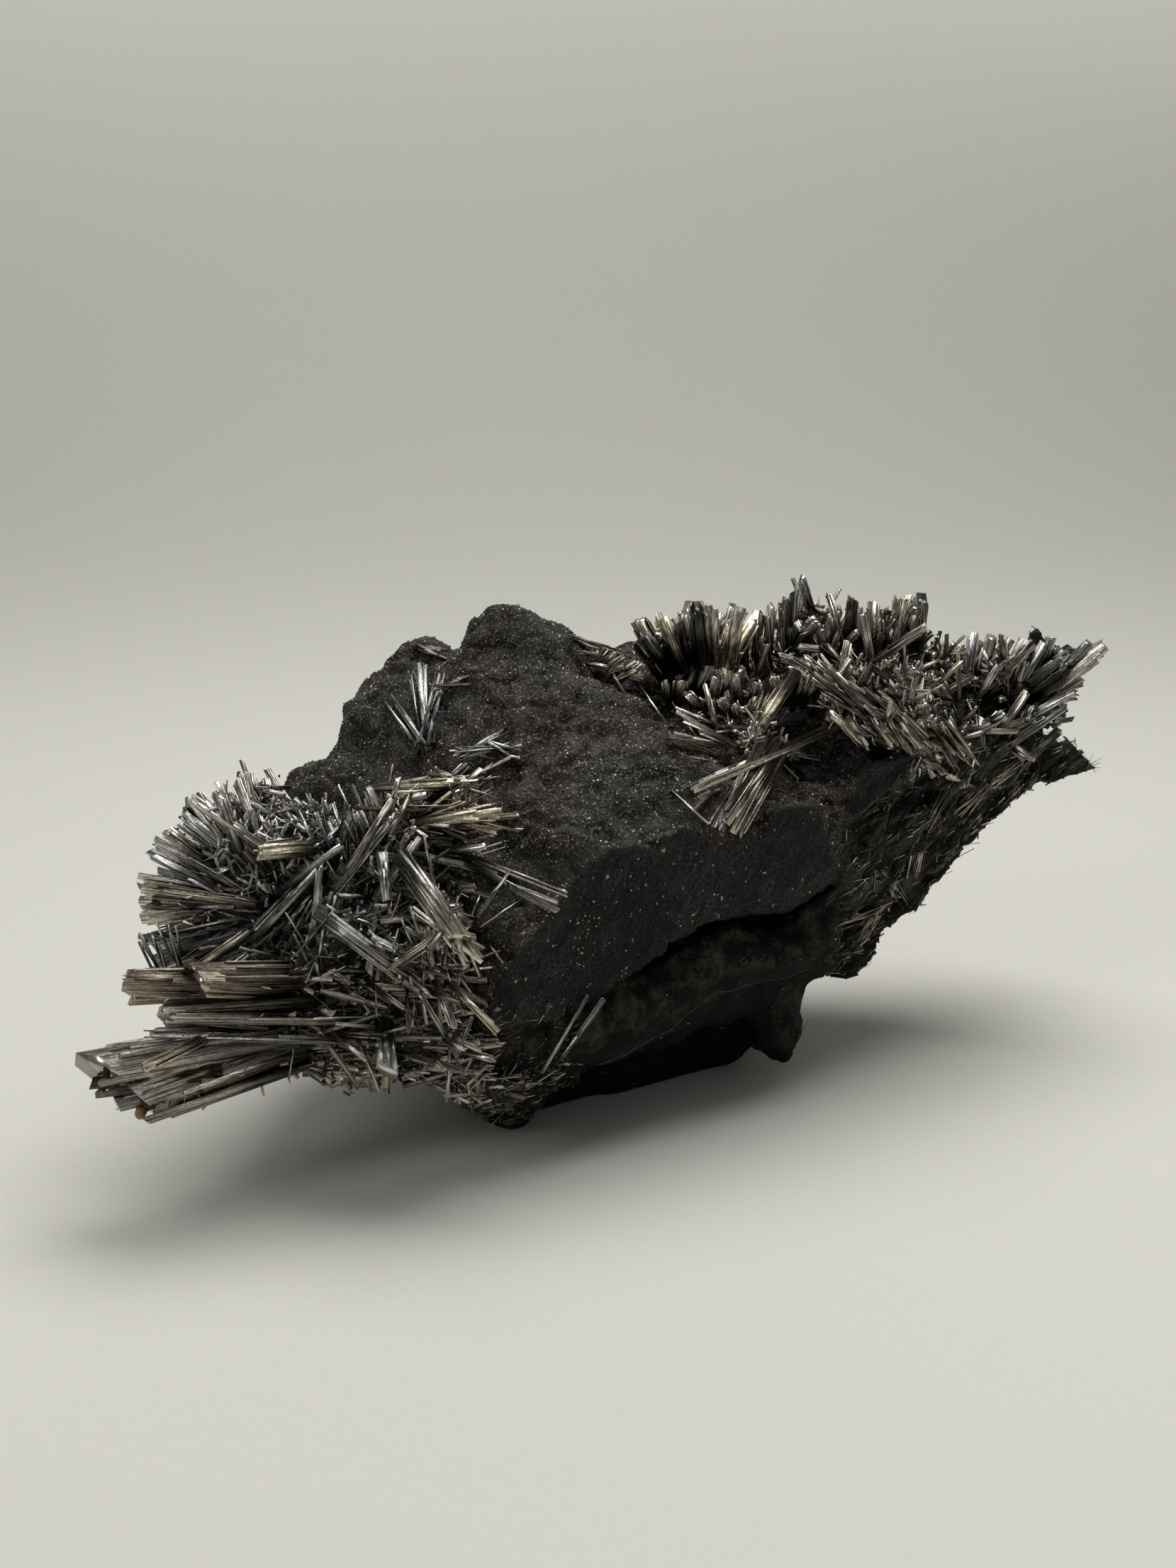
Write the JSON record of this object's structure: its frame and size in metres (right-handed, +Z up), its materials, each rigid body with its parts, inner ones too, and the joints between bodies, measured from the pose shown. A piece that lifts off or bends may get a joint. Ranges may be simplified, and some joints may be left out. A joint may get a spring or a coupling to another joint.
{
  "type": "zinkenite mineral specimen",
  "caption": "Dark drusy host rock with a cleaved front, carrying fans, columns and tangles of metallic needle crystals at both ends.",
  "frame": {"origin": "under the middle of the specimen, on the plane that it rests on", "axes": "+X along the specimen from the low end with thick columns to the high end, +Y away from its cleaved front, +Z up"},
  "size_m": [0.1072, 0.0688, 0.0537],
  "materials": {
    "rock": "matte dark rock with a fine sparkling crust",
    "crystal": "striated metallic steel-grey sulfosalt"
  },
  "bodies": {
    "root": {"matrix": "rock", "left_crystals": "crystal", "right_crystals": "crystal", "shoulder_tuft": "crystal", "slope_tuft": "crystal", "ridge_tuft": "crystal"}
  },
  "joints": []
}
